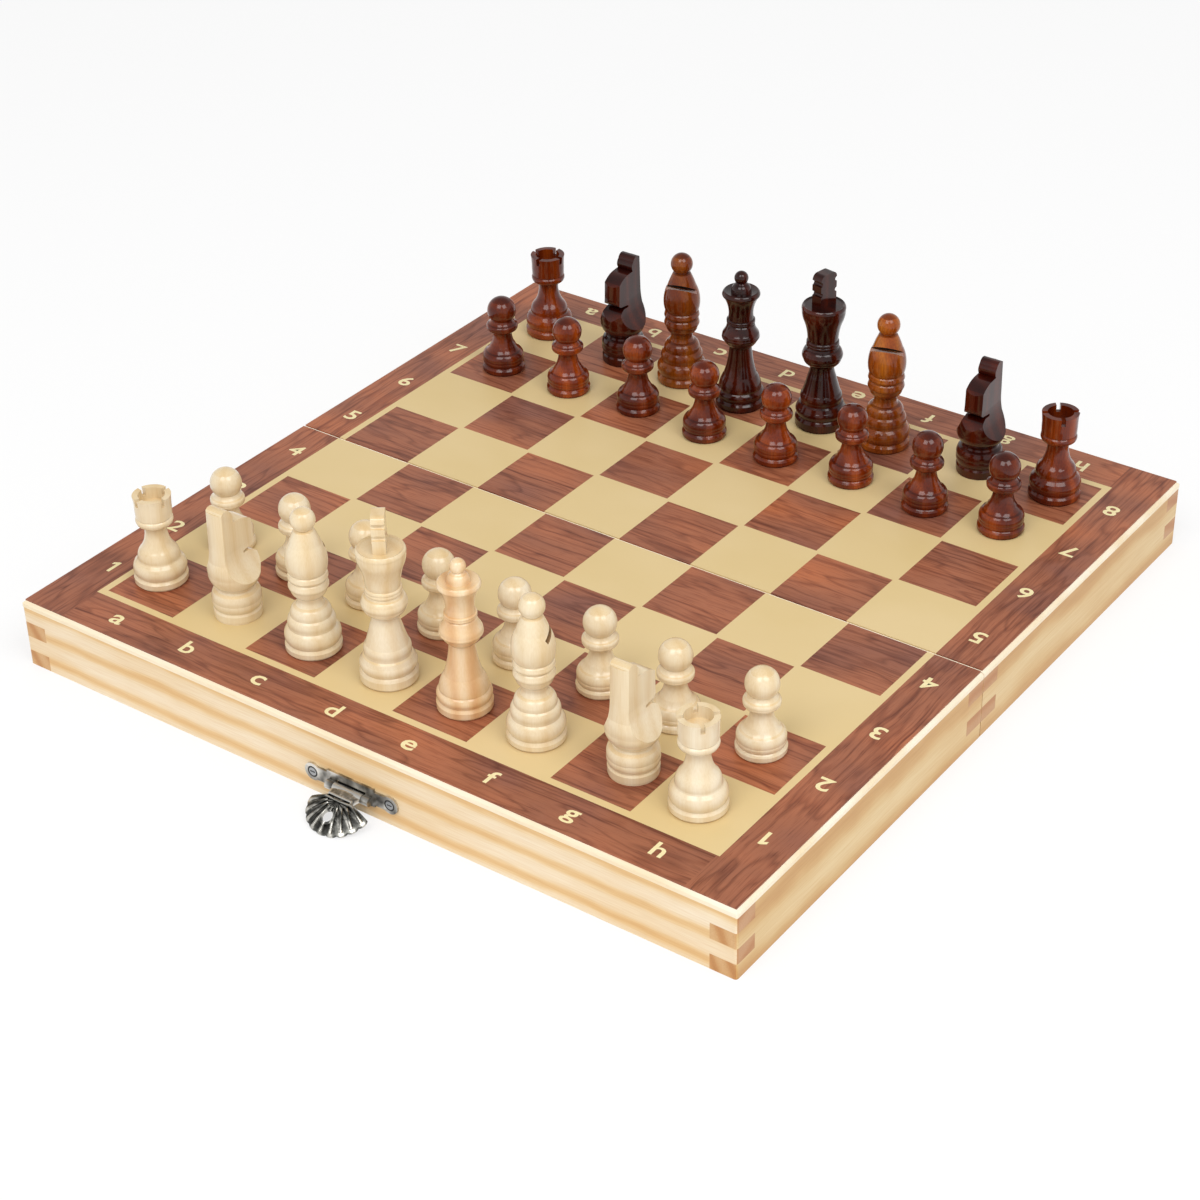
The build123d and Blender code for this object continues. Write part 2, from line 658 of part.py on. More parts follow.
def knight_wood():
    """The turned blank, cut to the horse's outline from the side and to hollowed cheeks."""

    def at(forward, up):
        return (forward * knight_foot, up * knight_height)

    with BuildPart() as horse:
        add(turned(knight_foot, knight_height, knight_profile))
        with BuildSketch(Plane.YZ.offset(-2 * knight_foot)):
            with BuildLine():
                # Back and poll
                Polyline(at(1.2, 0.2), at(-1.2, 0.2), at(-1.2, 0.97), at(-0.8, 0.975))
                ThreePointArc(at(-0.8, 0.975), at(-0.5, 1.0), at(-0.28, 0.96))
                ThreePointArc(at(-0.28, 0.96), at(-0.17, 0.915), at(-0.24, 0.875))
                # Forehead and muzzle
                Line(at(-0.24, 0.875), at(0.1, 0.87))
                ThreePointArc(at(0.1, 0.87), at(0.5, 0.85), at(0.9, 0.79))
                ThreePointArc(at(0.9, 0.79), at(0.99, 0.755), at(0.97, 0.71))
                Line(at(0.97, 0.71), at(0.92, 0.645))
                ThreePointArc(at(0.92, 0.645), at(0.83, 0.605), at(0.66, 0.59))
                # Throat and chest
                Line(at(0.66, 0.59), at(0.22, 0.58))
                ThreePointArc(at(0.22, 0.58), at(0.18, 0.57), at(0.22, 0.56))
                Line(at(0.22, 0.56), at(0.52, 0.562))
                ThreePointArc(at(0.52, 0.562), at(0.92, 0.51), at(1.1, 0.42))
                Line(at(1.1, 0.42), at(1.2, 0.2))
            make_face()
            with Locations(at(0, 0.15)):
                Rectangle(3 * knight_foot, knight_height * 0.32)
        extrude(amount=4 * knight_foot, mode=Mode.INTERSECT)
        with BuildSketch(Plane.XZ.offset(-2 * knight_foot)):
            with BuildLine():
                cheek = muzzle_thickness / 2 / knight_foot
                for way in (1, -1):
                    Line(at(way * cheek, 1), at(way * cheek, 0.62))
                    ThreePointArc(
                        at(way * cheek, 0.62), at(way * (cheek + 0.13), 0.5), at(way * 1.2, 0.33)
                    )
                    Line(at(way * 1.2, 0.33), at(way * 1.2, 0))
                Line(at(-1.2, 0), at(1.2, 0))
                Line(at(-cheek, 1), at(cheek, 1))
            make_face()
        extrude(amount=4 * knight_foot, mode=Mode.INTERSECT)
    return horse.part


pawn = with_base(turned(pawn_foot, pawn_height, pawn_profile))
rook = with_base(rook_wood())
knight = with_base(knight_wood())
bishop = with_base(bishop_wood())
queen = with_base(turned(queen_foot, queen_height, queen_profile))
king = with_base(king_wood())
designs = {"pawn": pawn, "rook": rook, "knight": knight, "bishop": bishop, "queen": queen, "king": king}

white_order = ["rook", "knight", "bishop", "king", "queen", "bishop", "knight", "rook"]
black_order = ["rook", "knight", "bishop", "queen", "king", "bishop", "knight", "rook"]
# Pieces that stand off the middle of their square, toward +X and +Y
nudges = {
    "a1": (-5.0, 1.0),
    "c1": (3.0, -1.0),
    "d1": (3.5, -0.5),
    "e1": (2.5, 0.5),
    "g1": (4.0, 2.5),
    "h1": (-1.0, -1.0),
    "f2": (1.0, 2.0),
    "h2": (-1.0, 2.5),
    "a8": (-3.5, 3.5),
    "b8": (3.0, 1.0),
    "d8": (-2.0, -4.0),
    "f8": (-4.0, 0.0),
    "g8": (3.0, 2.5),
    "h8": (2.5, 2.0),
    "c7": (-0.5, 2.5),
    "f7": (-0.5, 2.0),
    "h7": (-2.0, 2.0),
}
# Pieces that are turned about their own axis, in degrees
turns = {
    "a1": -10.0,
    "c1": 120.0,
    "d1": -54.0,
    "f1": 70.0,
    "h1": 45.0,
    "c8": -73.0,
    "e8": -100.0,
    "f8": -73.0,
    "h8": -53.0,
}


def stand(color, kind, square_name, facing):
    """One chessman on its square."""
    file = ord(square_name[0]) - ord("a")
    rank = int(square_name[1]) - 1
    nudge_x, nudge_y = nudges.get(square_name, (0.0, 0.0))
    at = Location(
        (
            (file + 0.5 - files / 2) * square + nudge_x,
            seam_y + (rank + 0.5 - half_ranks) * square + nudge_y,
            board_top,
        ),
        (0, 0, facing + turns.get(square_name, 0.0)),
    )
    keep(Compound([at * solid for solid in designs[kind]]), f"{color}_{kind}_{square_name}")


for file, letter in enumerate("abcdefgh"):
    stand("white", white_order[file], f"{letter}1", 0)
    stand("white", "pawn", f"{letter}2", 0)
    stand("black", "pawn", f"{letter}7", 0)
    facing = 180 if black_order[file] == "knight" else 0
    stand("black", black_order[file], f"{letter}8", facing)
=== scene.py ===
import bmesh
import bpy
import math
from mathutils import Matrix, Vector


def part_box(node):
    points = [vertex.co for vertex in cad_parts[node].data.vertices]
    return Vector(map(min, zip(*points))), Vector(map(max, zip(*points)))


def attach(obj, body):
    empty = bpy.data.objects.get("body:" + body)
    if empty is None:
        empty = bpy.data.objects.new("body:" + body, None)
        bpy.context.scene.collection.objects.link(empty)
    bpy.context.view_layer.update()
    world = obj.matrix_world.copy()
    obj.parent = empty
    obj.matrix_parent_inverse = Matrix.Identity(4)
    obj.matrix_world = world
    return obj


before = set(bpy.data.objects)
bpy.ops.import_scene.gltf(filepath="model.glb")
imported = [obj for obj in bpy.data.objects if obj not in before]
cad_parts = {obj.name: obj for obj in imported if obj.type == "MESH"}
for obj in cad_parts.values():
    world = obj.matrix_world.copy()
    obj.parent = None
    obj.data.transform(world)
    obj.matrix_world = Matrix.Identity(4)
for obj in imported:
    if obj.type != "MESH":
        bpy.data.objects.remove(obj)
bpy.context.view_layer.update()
print("frame loaded:", len(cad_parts), "nodes")

mm = 0.001

# The board's own sizes, for placing its print, its letters and the hasp's hollows
board = {
    "square": 31.25 * mm,
    "halfCase": 145.0 * mm,
    "halfField": 125.0 * mm,
    "lineWidth": 2.0 * mm,
}
seamY = (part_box("near_light_field")[1][1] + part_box("far_light_field")[0][1]) / 2
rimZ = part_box("near_front_rail")[0][2]
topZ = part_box("near_light_field")[1][2]


def linear(hexColour):  # sRGB hex to the linear colour that a shader socket wants
    parts = [int(hexColour[i:i + 2], 16) / 255 for i in (1, 3, 5)]
    turned = [c / 12.92 if c <= 0.04045 else ((c + 0.055) / 1.055) ** 2.4 for c in parts]
    return (*turned, 1.0)


def newMaterial(name):  # a material with a bare Principled shader
    material = bpy.data.materials.new(name)
    material.use_nodes = True
    return material, material.node_tree.nodes["Principled BSDF"]


def plug(material, node, inputs):  # sets a node's sockets, or links them where the value is another's output
    for key, value in inputs.items():
        if isinstance(value, bpy.types.NodeSocket):
            material.node_tree.links.new(value, node.inputs[key])
        else:
            node.inputs[key].default_value = value


def addNode(material, kind, inputs=None, stops=(), **settings):  # one node; stops are a ramp's (place, hex)
    made = material.node_tree.nodes.new(kind)
    for name, value in settings.items():
        setattr(made, name, value)
    plug(material, made, inputs or {})
    if stops:
        band = made.color_ramp.elements
        while len(band) < len(stops):
            band.new(0.5)
        for element, (place, hexColour) in zip(band, stops):
            element.position = place
            element.color = linear(hexColour)
    return made


# Woods

wavePeriod = 0.314  # from ring to ring of a wave texture at scale 1
endFacing = 0.75  # a face shows end grain when it looks this much along the grain
gritDepth = 0.05 * mm


# Pattern space whose X runs along the grain, shifted on each object by its own chance
def grainCoords(material, grain, spread):
    coords = addNode(material, "ShaderNodeTexCoord")
    own = addNode(material, "ShaderNodeObjectInfo")
    shift = addNode(material, "ShaderNodeVectorMath", {
        0: own.outputs["Random"], 1: spread}, operation="MULTIPLY")
    moved = addNode(material, "ShaderNodeVectorMath", {0: coords.outputs["Object"], 1: shift.outputs[0]})
    turn = {"X": (0, 0, 0), "Y": (0, 0, math.pi / 2), "Z": (0, math.pi / 2, 0)}[grain]
    return addNode(material, "ShaderNodeMapping", {"Vector": moved.outputs[0], "Rotation": turn}).outputs[0]


def grainedWood(name, look):  # solid wood, its growth rings and fibres cut through in every direction
    material, shader = newMaterial(name)
    vector = grainCoords(material, look["grain"], look["spread"])
    noises = {}
    for part, detail in (("waves", 2.0), ("fibres", 4.0), ("clouds", 1.0)):
        along, across = look[part]
        squeezed = addNode(material, "ShaderNodeMapping", {
            "Vector": vector, "Scale": (1 / along, 1 / across, 1 / across)})
        noises[part] = addNode(material, "ShaderNodeTexNoise", {
            "Vector": squeezed.outputs[0], "Scale": 1.0, "Detail": detail})
    # Rings round the pith, bent by the slow waves
    pith = addNode(material, "ShaderNodeMapping", {"Vector": vector, "Location": (0, *look["pith"])})
    wander = addNode(material, "ShaderNodeVectorMath", {
        0: noises["waves"].outputs["Color"], 1: (0, look["bend"], look["bend"])}, operation="MULTIPLY")
    bent = addNode(material, "ShaderNodeVectorMath", {0: pith.outputs[0], 1: wander.outputs[0]})
    rings = addNode(material, "ShaderNodeTexWave", {
        "Vector": bent.outputs[0], "Scale": wavePeriod / look["ring"],
        "Distortion": look["unevenness"], "Detail": 2.0}, wave_type="RINGS", rings_direction="X")
    ringTones = addNode(material, "ShaderNodeValToRGB", {"Fac": rings.outputs["Fac"]}, look["rings"])
    streaks = addNode(material, "ShaderNodeValToRGB", {
        "Fac": noises["fibres"].outputs["Fac"]}, look["streaks"])
    patches = addNode(material, "ShaderNodeValToRGB", {
        "Fac": noises["clouds"].outputs["Fac"]}, look["patches"])
    # End grain, where a face looks along the grain
    normal = addNode(material, "ShaderNodeTexCoord").outputs["Normal"]
    facing = addNode(material, "ShaderNodeSeparateXYZ", {0: normal}).outputs["XYZ".index(look["grain"])]
    lengthways = addNode(material, "ShaderNodeMath", {0: facing}, operation="ABSOLUTE")
    cut = addNode(material, "ShaderNodeMath", {
        0: lengthways.outputs[0], 1: endFacing}, operation="GREATER_THAN")
    endShare = addNode(material, "ShaderNodeMath", {
        0: cut.outputs[0], 1: look["endShare"]}, operation="MULTIPLY")
    colour = ringTones.outputs["Color"]
    for share, layer in (
            (look["streakShare"], streaks.outputs["Color"]),
            (look["patchShare"], patches.outputs["Color"]),
            (endShare.outputs[0], linear(look["endGrain"]))):
        colour = addNode(material, "ShaderNodeMix", {
            0: share, 6: colour, 7: layer}, data_type="RGBA", blend_type="MULTIPLY").outputs[2]
    grit = addNode(material, "ShaderNodeBump", {
        "Height": noises["fibres"].outputs["Fac"], "Strength": look["relief"], "Distance": gritDepth})
    plug(material, shader, {
        "Base Color": colour, "Normal": grit.outputs[0], "Roughness": look["roughness"],
        "Specular IOR Level": look["specular"], "Coat Weight": look["coat"],
        "Coat Roughness": look["coatRoughness"]})
    return material


# Waves, fibres and clouds are as long along the grain and as wide across it as they say here. Real fibres are
# too fine to show, so they are drawn about half a millimetre wide.
pine = {
    "grain": "X", "spread": (900 * mm, 0.0, 0.0), "pith": (0.0, 350 * mm),
    "ring": 9 * mm, "bend": 4 * mm, "unevenness": 1.2,
    "waves": (140 * mm, 22 * mm), "fibres": (14 * mm, 0.5 * mm), "clouds": (60 * mm, 18 * mm),
    "rings": [(0.0, "#eeddc2"), (0.5, "#ecd8b8"), (0.78, "#e8cc9f"), (1.0, "#e0bb85")],
    "streaks": [(0.3, "#ecd8b8"), (0.62, "#ffffff")], "streakShare": 0.45,
    "patches": [(0.35, "#f2e2c4"), (0.65, "#ffffff")], "patchShare": 0.5,
    "endGrain": "#cb9f76", "endShare": 0.9,
    "roughness": 0.42, "specular": 0.35, "coat": 0.25, "coatRoughness": 0.3, "relief": 0.15,
}
# Planed and lacquered pine: cream with orange late-wood bands, and browner where a finger shows its end
crossPine = grainedWood("lacquered pine, grain across", pine)
# The side rails: the same pine with its grain front to back. Its darker, browner tones are painted shade.
shadedSidePine = grainedWood("lacquered pine, grain front to back, painted shade", {
    **pine, "grain": "Y", "ring": 7 * mm, "endGrain": "#f0dad0",
    "rings": [(0.0, "#dec493"), (0.5, "#d8b982"), (0.8, "#d0a86d"), (1.0, "#c99d60")]})
# Limewood ply, sawn and sanded: nearly white and almost without figure
paleLime = grainedWood("sanded limewood", {
    **pine, "rings": [(0.0, "#f8efdd"), (1.0, "#f3e6cc")], "streakShare": 0.2, "endShare": 0.0, "coat": 0.1})

maple = {
    **pine,
    "grain": "Z", "spread": (300 * mm, 700 * mm, 500 * mm), "pith": (4 * mm, 6 * mm),
    "ring": 6 * mm, "bend": 6 * mm, "fibres": (14 * mm, 0.45 * mm),
    "rings": [(0.0, "#ecdec3"), (0.6, "#eadabc"), (1.0, "#e6d3b1")],
    "streaks": [(0.3, "#efe2c6"), (0.62, "#ffffff")], "streakShare": 0.3,
    "patches": [(0.35, "#f1e2c2"), (0.65, "#ffffff")],
    "endGrain": "#f6e8cc", "endShare": 0.5,
    "roughness": 0.36, "specular": 0.05, "coat": 1.0, "coatRoughness": 0.11, "relief": 0.05,
}
# Turned and lacquered maple: smooth ivory with a wet highlight
paleMaple = grainedWood("lacquered maple, turned", maple)
pinkMaple = grainedWood("lacquered maple, pinker", {
    **maple, "rings": [(0.0, "#ecd6b4"), (0.5, "#e8caa0"), (1.0, "#deb78a")],
    "patches": [(0.35, "#f0d4b0"), (0.65, "#ffffff")]})
stained = {
    **maple,
    "rings": [(0.0, "#3a0b01"), (0.55, "#440f02"), (1.0, "#541904")],
    "streaks": [(0.3, "#9a6654"), (0.62, "#ffffff")], "streakShare": 0.5,
    "patches": [(0.35, "#7c4630"), (0.65, "#ffffff")], "patchShare": 0.7,
    "endGrain": "#7a4a3c", "roughness": 0.3, "coat": 0.75, "coatRoughness": 0.12,
}
# The same wood stained mahogany or walnut and varnished: from near black to orange brown, under a gloss
darkStain = grainedWood("mahogany stained maple, turned", stained)
redStain = grainedWood("mahogany stained maple, redder", {
    **stained, "rings": [(0.0, "#742804"), (0.55, "#843206"), (1.0, "#9c440e")]})
brownStain = grainedWood("walnut stained maple, turned", {
    **stained, "rings": [(0.0, "#9c4a0c"), (0.5, "#ac5810"), (1.0, "#bc6c1c")],
    "streaks": [(0.3, "#9a7050"), (0.62, "#ffffff")]})
print("woods made")

# The board's printed foil. Its layers lie over one another, each with its flecks' length and width.
foil = {
    "waves": (34 * mm, 15 * mm),
    "bend": 4 * mm,
    "roughness": 0.4,
    "specular": 0.35,
    "hues": {
        "size": (50 * mm, 28 * mm), "detail": 2.0, "share": 1.0,
        "tones": [(0.32, "#8c5846"), (0.46, "#9c6045"), (0.58, "#a96748"), (0.72, "#b76c46")]},
    "streaks": {
        "size": (70 * mm, 1.2 * mm), "detail": 3.0, "share": 0.8,
        "tones": [(0.3, "#b59a92"), (0.5, "#ffffff")]},
    "veins": {
        "size": (45 * mm, 9 * mm), "detail": 2.0, "share": 0.5,
        "tones": [(0.46, "#ffffff"), (0.495, "#a08680"), (0.51, "#c4aca4"), (0.55, "#ffffff")]},
    "pores": {
        "size": (8 * mm, 0.35 * mm), "detail": 2.0, "share": 0.7,
        "tones": [(0.3, "#bb9c94"), (0.45, "#ffffff")]},
}
# Printed rosewood foil under satin lacquer: red brown in clouds, with dark veins and fine pores
rosewood, shader = newMaterial("printed rosewood foil")
foilCoords = addNode(rosewood, "ShaderNodeTexCoord").outputs["Object"]
boardCoords = addNode(rosewood, "ShaderNodeMapping", {
    "Vector": foilCoords, "Location": (0, -seamY, 0)}).outputs[0]
boardPlace = addNode(rosewood, "ShaderNodeSeparateXYZ", {0: boardCoords})
borderStart = board["halfField"] + board["lineWidth"] / 2
borders = []
for way in ("X", "Y"):
    out = addNode(rosewood, "ShaderNodeMath", {0: boardPlace.outputs[way]}, operation="ABSOLUTE").outputs[0]
    borders.append(addNode(rosewood, "ShaderNodeMath", {0: out, 1: borderStart}, operation="GREATER_THAN"))
onSides, onEnds = (border.outputs[0] for border in borders)
onBorder = addNode(rosewood, "ShaderNodeMath", {0: onSides, 1: onEnds}, operation="MAXIMUM").outputs[0]
# The grain runs across the board, and along the border's two sides
turned = addNode(rosewood, "ShaderNodeVectorRotate", {
    "Vector": boardCoords, "Angle": math.pi / 2}, rotation_type="Z_AXIS")
laid = addNode(rosewood, "ShaderNodeMix", {
    0: onSides, 4: boardCoords, 5: turned.outputs[0]}, data_type="VECTOR").outputs[1]
# Each square is its own cut of the foil
cell = addNode(rosewood, "ShaderNodeVectorMath", {
    0: boardCoords, 1: (board["square"],) * 3}, operation="SNAP")
chance = addNode(rosewood, "ShaderNodeTexWhiteNoise", {"Vector": cell.outputs[0]}, noise_dimensions="3D")
shift = addNode(rosewood, "ShaderNodeMix", {
    0: onBorder, 4: chance.outputs["Color"], 5: (0.0, 0.0, 0.0)}, data_type="VECTOR").outputs[1]
straight = addNode(rosewood, "ShaderNodeVectorMath", {0: laid, 1: shift}).outputs[0]
unturned = addNode(rosewood, "ShaderNodeVectorMath", {0: boardCoords, 1: shift}).outputs[0]
along, across = foil["waves"]
squeezed = addNode(rosewood, "ShaderNodeMapping", {
    "Vector": straight, "Scale": (1 / along, 1 / across, 1 / across)})
waves = addNode(rosewood, "ShaderNodeTexNoise", {"Vector": squeezed.outputs[0], "Scale": 1.0, "Detail": 2.0})
bent = addNode(rosewood, "ShaderNodeVectorMath", {
    0: waves.outputs["Color"], 1: (0, foil["bend"], 0), 2: straight}, operation="MULTIPLY_ADD").outputs[0]
foilColour = linear("#ffffff")
for name, vector in (("hues", unturned), ("streaks", bent), ("veins", bent), ("pores", bent)):
    layer = foil[name]
    along, across = layer["size"]
    squeezed = addNode(rosewood, "ShaderNodeMapping", {
        "Vector": vector, "Scale": (1 / along, 1 / across, 1 / across)})
    flecks = addNode(rosewood, "ShaderNodeTexNoise", {
        "Vector": squeezed.outputs[0], "Scale": 1.0, "Detail": layer["detail"]})
    tones = addNode(rosewood, "ShaderNodeValToRGB", {"Fac": flecks.outputs["Fac"]}, layer["tones"])
    foilColour = addNode(rosewood, "ShaderNodeMix", {
        0: layer["share"], 6: foilColour, 7: tones.outputs["Color"]},
        data_type="RGBA", blend_type="MULTIPLY").outputs[2]
plug(rosewood, shader, {
    "Base Color": foilColour, "Roughness": foil["roughness"], "Specular IOR Level": foil["specular"]})


toneStops = (0.32, 0.68)  # where an even finish's cloud turns from its first tone to its second


def plainFinish(name, look):  # an even finish with a little cloud in its colour and grit in its surface
    material, shader = newMaterial(name)
    coords = addNode(material, "ShaderNodeTexCoord").outputs["Object"]
    along, across = look["patch"]
    squeezed = addNode(material, "ShaderNodeMapping", {
        "Vector": coords, "Scale": (1 / along, 1 / across, 1 / across)})
    cloud = addNode(material, "ShaderNodeTexNoise", {
        "Vector": squeezed.outputs[0], "Scale": 1.0, "Detail": 3.0})
    tones = addNode(material, "ShaderNodeValToRGB", {
        "Fac": cloud.outputs["Fac"]}, list(zip(toneStops, look["tones"])))
    grit = addNode(material, "ShaderNodeBump", {
        "Height": cloud.outputs["Fac"], "Strength": look["relief"], "Distance": gritDepth})
    plug(material, shader, {
        "Base Color": tones.outputs["Color"], "Normal": grit.outputs[0], "Metallic": look["metallic"],
        "Roughness": look["roughness"], "Specular IOR Level": look["specular"]})
    return material


finishes = {
    # Screen print under satin lacquer: flat buff, faintly uneven
    "tan screen print under satin lacquer": {
        "patch": (60 * mm, 40 * mm), "tones": ("#d9bf88", "#dec592"), "relief": 0.0,
        "metallic": 0.0, "roughness": 0.4, "specular": 0.35},
    # The ink of the letters, a little lighter than the squares
    "pale yellow print": {
        "patch": (3 * mm, 3 * mm), "tones": ("#eadaa2", "#f2e4b2"), "relief": 0.1,
        "metallic": 0.0, "roughness": 0.4, "specular": 0.5},
    # Rolled brass plate: warm, drawn out in brush lines, coarser than real so that they show
    "brass plated steel, rolled": {
        "patch": (6 * mm, 0.3 * mm), "tones": ("#c29c4c", "#d0ac5e"), "relief": 0.3,
        "metallic": 1.0, "roughness": 0.32, "specular": 0.5},
    # Tinned steel: plain grey with roll lines, coarser than real so that they show
    "tinned steel sheet, rolled": {
        "patch": (6 * mm, 0.3 * mm), "tones": ("#a2a4a6", "#b0b2b4"), "relief": 0.2,
        "metallic": 1.0, "roughness": 0.4, "specular": 0.5},
    # Black in the hasp's hollows, hardly shining: tarnish and painted shade at the screws, painted shade
    # alone in the window behind the knuckle
    "black tarnish and painted shade in a hollow": {
        "patch": (0.5 * mm, 0.5 * mm), "tones": ("#12100f", "#24211e"), "relief": 0.5,
        "metallic": 0.0, "roughness": 0.6, "specular": 0.5},
    # Inside a pale bishop's saw cut: painted shade, brown and matt
    "sawn maple in painted shade": {
        "patch": (4 * mm, 0.4 * mm), "tones": ("#8c6a44", "#a8865c"), "relief": 0.6,
        "metallic": 0.0, "roughness": 0.8, "specular": 0.5},
    # Inside a dark bishop's saw cut: painted shade, nearly black
    "stained saw cut in painted shade": {
        "patch": (4 * mm, 0.4 * mm), "tones": ("#180803", "#260f07"), "relief": 0.6,
        "metallic": 0.0, "roughness": 0.9, "specular": 0.5},
}
tanLacquer, printInk, yellowBrass, tinnedSteel, tarnishAndShade, slitShade, stainedSlitShade = (
    plainFinish(name, look) for name, look in finishes.items())

felt = {
    "fuzz": 0.6 * mm,
    "tones": [(0.3, "#12391f"), (0.7, "#1f5a32")],
    "nap": 0.3 * mm,
    "relief": 0.6,
    "roughness": 0.95,
    "sheen": 0.4,
}
feltCloth, shader = newMaterial("green wool felt, pressed")  # matt, with a soft glow at grazing angles
feltCoords = addNode(feltCloth, "ShaderNodeTexCoord").outputs["Object"]
feltFuzz = addNode(feltCloth, "ShaderNodeTexNoise", {
    "Vector": feltCoords, "Scale": 1 / felt["fuzz"], "Detail": 4.0})
feltTones = addNode(feltCloth, "ShaderNodeValToRGB", {"Fac": feltFuzz.outputs["Fac"]}, felt["tones"])
feltNap = addNode(feltCloth, "ShaderNodeBump", {
    "Height": feltFuzz.outputs["Fac"], "Strength": felt["relief"], "Distance": felt["nap"]})
plug(feltCloth, shader, {
    "Base Color": feltTones.outputs["Color"], "Normal": feltNap.outputs[0], "Roughness": felt["roughness"],
    "Sheen Weight": felt["sheen"]})

pinLow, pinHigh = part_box("hasp_pin")
hasp = {
    "pinRadius": 0.7 * mm,
    "slope": math.radians(28.8),  # how far the fan leans at rest
    "fanMiddle": 4.8 * mm,  # from the pin to where the fan's lobes spread from
    "lobe": math.radians(172 / 9),
    "ribStart": 1.0 * mm,
    "roughness": 0.3,
    "plateBlotch": 4.5 * mm,
    "plateTones": [(0.3, "#54524e"), (0.48, "#a09d97"), (0.66, "#dedbd4")],
    "fanBlotch": 1.8 * mm,
    "fanWear": 0.16,
    "fanTones": [(0.5, "#2f2e2c"), (0.57, "#8f8d88"), (0.62, "#d6d3cc")],
    # Painted highlight along the fan's ribs and painted shade between them, set by the bearing round the fan
    "petals": [(0.05, "#6c6d6c"), (0.5, "#8d8f8d"), (0.85, "#f4f4f2")],
}
pivot = (0, pinLow[1] + hasp["pinRadius"], (pinLow[2] + pinHigh[2]) / 2)


def agedSilver(name, blotch):  # a silver metal with a noise of blotches to colour it by
    material, shader = newMaterial(name)
    plug(material, shader, {"Metallic": 1.0, "Roughness": hasp["roughness"]})
    coords = addNode(material, "ShaderNodeTexCoord").outputs["Object"]
    wear = addNode(material, "ShaderNodeTexNoise", {"Vector": coords, "Scale": 1 / blotch, "Detail": 2.0})
    return material, shader, coords, wear.outputs["Fac"]


# Antique silver plate, stamped and tumbled: blotched grey
oldSilver, shader, coords, wear = agedSilver("antique silver plate, stamped and tumbled", hasp["plateBlotch"])
tones = addNode(oldSilver, "ShaderNodeValToRGB", {"Fac": wear}, hasp["plateTones"])
plug(oldSilver, shader, {"Base Color": tones.outputs["Color"]})
# The fan has a painted highlight on its ribs and painted shade between them
fanSilver, shader, coords, wear = agedSilver("antique silver plate, stamped in petals", hasp["fanBlotch"])
edges = addNode(fanSilver, "ShaderNodeNewGeometry").outputs["Pointiness"]
worn = addNode(fanSilver, "ShaderNodeMath", {0: wear, 1: hasp["fanWear"], 2: edges}, operation="MULTIPLY_ADD")
tones = addNode(fanSilver, "ShaderNodeValToRGB", {"Fac": worn.outputs[0]}, hasp["fanTones"]).outputs["Color"]
fanPlace = addNode(fanSilver, "ShaderNodeMapping", {
    "Vector": coords, "Location": pivot, "Rotation": (hasp["slope"], 0, 0)}, vector_type="TEXTURE")
fanSides = addNode(fanSilver, "ShaderNodeSeparateXYZ", {0: fanPlace.outputs[0]})
outward = addNode(fanSilver, "ShaderNodeMath", {
    0: -hasp["fanMiddle"], 1: fanSides.outputs["Y"]}, operation="SUBTRACT").outputs[0]
bearing = addNode(fanSilver, "ShaderNodeMath", {0: fanSides.outputs["X"], 1: outward}, operation="ARCTAN2")
petal = addNode(fanSilver, "ShaderNodeMath", {
    0: bearing.outputs[0], 1: math.tau / hasp["lobe"]}, operation="MULTIPLY")
wave = addNode(fanSilver, "ShaderNodeMath", {0: petal.outputs[0]}, operation="COSINE")
crest = addNode(fanSilver, "ShaderNodeMath", {0: wave.outputs[0], 1: 0.5, 2: 0.5}, operation="MULTIPLY_ADD")
petals = addNode(fanSilver, "ShaderNodeValToRGB", {"Fac": crest.outputs[0]}, hasp["petals"])
ribHighlightAndShade = addNode(fanSilver, "ShaderNodeMix", {
    0: 1.0, 6: tones, 7: petals.outputs["Color"]}, data_type="RGBA", blend_type="MULTIPLY").outputs[2]
inPetals = addNode(fanSilver, "ShaderNodeMath", {0: outward, 1: -hasp["ribStart"]}, operation="GREATER_THAN")
petalled = addNode(fanSilver, "ShaderNodeMix", {
    0: inPetals.outputs[0], 6: tones, 7: ribHighlightAndShade}, data_type="RGBA", blend_type="MIX")
plug(fanSilver, shader, {"Base Color": petalled.outputs[2]})
print("print, felt and metals made")


# Who wears what

def paint(nodeNames, material):
    for nodeName in nodeNames:
        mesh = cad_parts[nodeName].data
        mesh.materials.clear()
        mesh.materials.append(material)


rails = {"front": crossPine, "back": crossPine, "seam": crossPine, "left": shadedSidePine, "right": shadedSidePine}
stains = {"bishop": brownStain, "pawn": redStain, "rook": redStain}
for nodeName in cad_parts:
    words = nodeName.split("_")
    if words[-1] == "rail":
        paint([nodeName], rails[words[1]])
    elif words[0] == "white":
        paint([nodeName], pinkMaple if words[1] == "queen" else paleMaple)
    elif words[0] == "black":
        paint([nodeName], stains.get(words[1], darkStain))

slit = {"flattest": 0.86, "steepest": 0.78}  # how far the cut faces of a bishop's mitre look up or down


def paintSlitShade(nodeName, material):  # painted shade on the flat cut faces in a bishop's mitre, dark
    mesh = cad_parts[nodeName].data
    mesh.materials.append(material)
    spread = {}
    for face in mesh.polygons:
        if slit["steepest"] < abs(face.normal.z) < slit["flattest"]:
            way = face.normal if face.normal.z > 0 else -face.normal
            spread.setdefault(tuple(round(c, 2) for c in way), []).append(face)
    cut = max(spread.values(), key=lambda faces: sum(face.area for face in faces))
    for face in cut:
        face.material_index = 1


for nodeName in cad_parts:
    if "bishop" in nodeName:
        paintSlitShade(nodeName, slitShade if nodeName.startswith("white") else stainedSlitShade)

